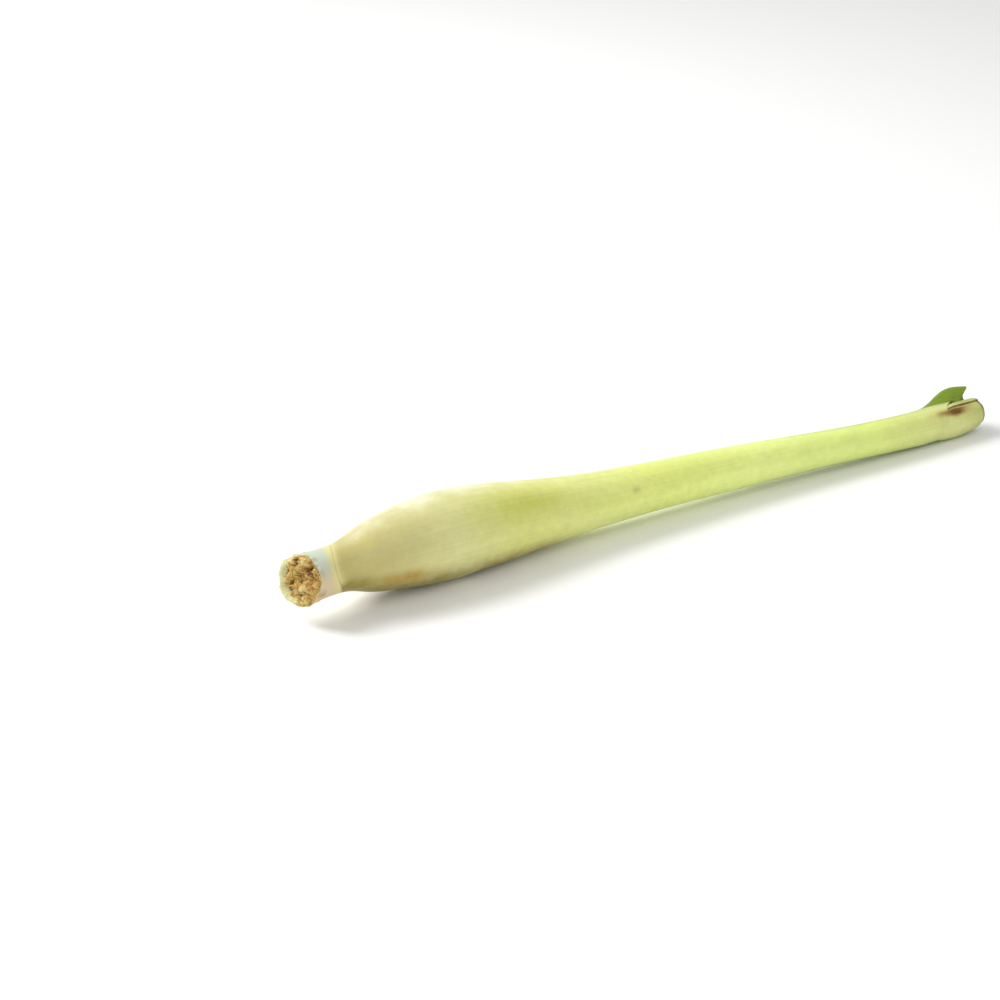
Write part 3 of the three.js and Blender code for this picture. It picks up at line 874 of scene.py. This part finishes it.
def tornStem(name, look):
    material, tree = newMaterial(name)
    value = {key: add(tree, "Attribute", attribute_name=key).outputs["Fac"] for key in (
        "relief", "behind", "rim", "stub", "under", "streak")}
    body = add(tree, "TexCoord").outputs["Object"]
    grain = add(tree, "TexNoise", {"Vector": body, "Scale": 1000 / look["grain"], "Detail": 5,
                                   "Roughness": 0.65}).outputs["Fac"]
    patch = add(tree, "TexNoise", {"Vector": body, "Scale": 1000 / look["patch"], "Detail": 2}).outputs["Fac"]
    threads = add(tree, "Mapping", {"Vector": body, "Rotation": (look["threadLean"], 0, 0),
                                    "Scale": look["threads"]}).outputs[0]
    threads = add(tree, "TexNoise", {"Vector": threads, "Scale": 1, "Detail": 3}).outputs["Fac"]

    def over(mask, under, hexValue):
        layer = {0: mask, 6: under, 7: colour(hexValue)}
        return add(tree, "Mix", layer, data_type="RGBA").outputs[2]

    # the face is darker the deeper it lies, and rust-coloured in one place
    height = add(tree, "MapRange", {"Value": value["relief"], "From Min": -1.7, "From Max": 1.5}).outputs[0]
    for noise, share in ((grain, 0.5), (patch, 0.5), (threads, 1.1)):
        height = add(tree, "Math", {0: noise, 1: share, 2: height}, operation="MULTIPLY_ADD").outputs[0]
    height = add(tree, "Math", {0: height, 1: 1.08}, operation="SUBTRACT").outputs[0]
    face = add(tree, "ValToRGB", {"Fac": height})
    setStops(face, look["faceStops"])
    rust = add(tree, "Math", {0: value["streak"], 1: threads}, operation="MULTIPLY").outputs[0]
    rust = add(tree, "MapRange", {"Value": rust, "From Min": 0.2, "From Max": 0.75}).outputs[0]
    cut = over(rust, face.outputs[0], look["rust"])
    rim = add(tree, "Math", {0: patch, 1: 0.6, 2: value["rim"]}, operation="MULTIPLY_ADD").outputs[0]
    rim = add(tree, "MapRange", {"Value": rim, "From Min": 0.55, "From Max": 0.95},
              interpolation_type="SMOOTHSTEP").outputs[0]
    cut = over(rim, cut, look["rim"])

    # the collar is warmer towards the ring, and stained at the root stubs and close to the cut
    side = over(value["under"], colour(look["collar"]), look["collarPink"])
    warm = add(tree, "MapRange", {"Value": value["behind"], "From Min": 7.5, "From Max": 11.4},
               interpolation_type="SMOOTHSTEP").outputs[0]
    side = over(warm, side, look["collarWarm"])
    scar = add(tree, "MapRange", {"Value": value["stub"], "From Min": 0.08, "From Max": 0.4}).outputs[0]
    scar = add(tree, "Math", {0: scar, 1: grain}, operation="MULTIPLY").outputs[0]
    side = over(scar, side, look["stubColour"])
    near = add(tree, "MapRange", {"Value": value["behind"], "From Min": 0, "From Max": 1.8, "To Min": 1,
                                  "To Max": 0}).outputs[0]
    near = add(tree, "Math", {0: near, 1: patch}, operation="MULTIPLY").outputs[0]
    near = add(tree, "MapRange", {"Value": near, "From Min": 0.45, "From Max": 0.75}).outputs[0]
    near = add(tree, "Math", {0: near, 1: value["streak"]}, operation="MAXIMUM").outputs[0]
    side = over(near, side, look["streak"])
    onSide = add(tree, "Math", {0: value["behind"], 1: 0}, operation="GREATER_THAN").outputs[0]
    shade = add(tree, "Mix", {0: onSide, 6: cut, 7: side}, data_type="RGBA").outputs[2]
    bump = add(tree, "Bump", {"Height": grain, "Strength": 0.6, "Distance": 0.15 * mm}).outputs[0]
    finishMaterial(tree, shade, bump, {"Roughness": 0.62, "IOR": 1.45, "Subsurface Weight": 0.1,
                                       "Subsurface Scale": 1.0 * mm})
    return material


# Dry fibre ends: the eye gets matt threads from straw to tan, each in its own tone
fibreLook = {"grain": 0.3333, "stops": [(0.2, "6e4a1a"), (1, "d8c68e"), (0.6, "b8954a")], "roughness": 0.7}


def dryFibre(name, look):
    material, tree = newMaterial(name)
    tone = add(tree, "Attribute", attribute_name="tone").outputs["Fac"]
    body = add(tree, "TexCoord").outputs["Object"]
    grain = add(tree, "TexNoise", {"Vector": body, "Scale": 1000 / look["grain"], "Detail": 2}).outputs["Fac"]
    mask = add(tree, "Math", {0: grain, 1: 0.6, 2: tone}, operation="MULTIPLY_ADD").outputs[0]
    ramp = add(tree, "ValToRGB", {"Fac": mask})
    setStops(ramp, look["stops"])
    bump = add(tree, "Bump", {"Height": grain, "Strength": 0.4, "Distance": 0.05 * mm}).outputs[0]
    finishMaterial(tree, ramp.outputs[0], bump, {"Roughness": look["roughness"], "IOR": 1.5})
    return material


# White paper for the table: the eye gets an even matt white with a faint tooth
paperLook = {"grain": 1.111, "stops": [(0, "f4f4f2"), (1, "f8f8f7")], "roughness": 0.9}


def paper(name, look):
    material, tree = newMaterial(name)
    body = add(tree, "TexCoord").outputs["Object"]
    grain = add(tree, "TexNoise", {"Vector": body, "Scale": 1000 / look["grain"], "Detail": 3}).outputs["Fac"]
    ramp = add(tree, "ValToRGB", {"Fac": grain})
    setStops(ramp, look["stops"])
    bump = add(tree, "Bump", {"Height": grain, "Strength": 0.05, "Distance": 0.05 * mm}).outputs[0]
    finishMaterial(tree, ramp.outputs[0], bump, {"Roughness": look["roughness"]})
    return material


outerLeaf = makeOuterLeaf()
secondLeaf = makeSecondLeaf()
thirdLeaf = makeThirdLeaf()
innerRoll = makeInnerRoll()
stemCut = makeStem()
strands = makeStrands()

sheath = waxySheath("waxy_leaf_sheath", sheathLook)
outerLeaf.data.materials.append(sheath)
secondLeaf.data.materials.append(sheath)
young = youngLeaf("young_leaf_tissue", youngLook)
thirdLeaf.data.materials.append(young)
innerRoll.data.materials.append(young)
stemCut.data.materials.append(tornStem("torn_stem_base", stemLook))
strands.data.materials.append(dryFibre("dry_stem_fibre", fibreLook))
print("materials done")

# Table, half its side in metres
tableHalf = 3
corners = [(x * tableHalf, y * tableHalf, 0) for x, y in ((-1, -1), (1, -1), (1, 1), (-1, 1))]
floorMesh = bpy.data.meshes.new("table")
floorMesh.from_pydata(corners, [], [(0, 1, 2, 3)])
floor = bpy.data.objects.new("table", floorMesh)
bpy.context.collection.objects.link(floor)
floorMesh.materials.append(paper("table_paper", paperLook))

# Camera, at the photograph's angle
view = {"azimuth": -31.35, "elevation": 25, "distance": 632.1, "lookAt": (-52.37, 0.4, 17.45), "lens": 85}
azimuth = math.radians(view["azimuth"])
elevation = math.radians(view["elevation"])
level = math.cos(elevation)
back = Vector((math.sin(azimuth) * level, -math.cos(azimuth) * level, math.sin(elevation)))
cameraData = bpy.data.cameras.new("camera")
cameraData.lens = view["lens"]
cameraData.sensor_width = 36
cameraData.clip_start = 0.01
cameraData.clip_end = 20
camera = bpy.data.objects.new("camera", cameraData)
bpy.context.collection.objects.link(camera)
camera.location = (Vector(view["lookAt"]) + back * view["distance"]) * mm
camera.rotation_mode = "QUATERNION"
camera.rotation_quaternion = (-back).to_track_quat("-Z", "Y")
bpy.context.scene.camera = camera

# Soft studio light: a big softbox high behind on the left, a weaker one in front, and a pale surround
lights = {
    "softbox": {"at": (-0.42, 0.47, 0.62), "size": 0.5, "power": 7.9, "aim": (-0.04, 0, 0.01)},
    "fill": {"at": (-0.1, -0.7, 0.7), "size": 0.8, "power": 2.6, "aim": (0.02, 0, 0.01)},
}
for lightName, light in lights.items():
    lamp = bpy.data.lights.new(lightName, "AREA")
    lamp.size = light["size"]
    lamp.energy = light["power"]
    lampObject = bpy.data.objects.new(lightName, lamp)
    bpy.context.collection.objects.link(lampObject)
    lampObject.location = light["at"]
    lampObject.rotation_mode = "QUATERNION"
    lampObject.rotation_quaternion = (Vector(light["aim"]) - Vector(light["at"])).to_track_quat("-Z", "Y")
surroundStrength = 0.53
world = bpy.data.worlds.new("surround")
world.use_nodes = True
world.node_tree.nodes["Background"].inputs["Color"].default_value = (1, 1, 1, 1)
world.node_tree.nodes["Background"].inputs["Strength"].default_value = surroundStrength
bpy.context.scene.world = world
bpy.context.scene.view_settings.view_transform = "Standard"
print("table, camera and light done")
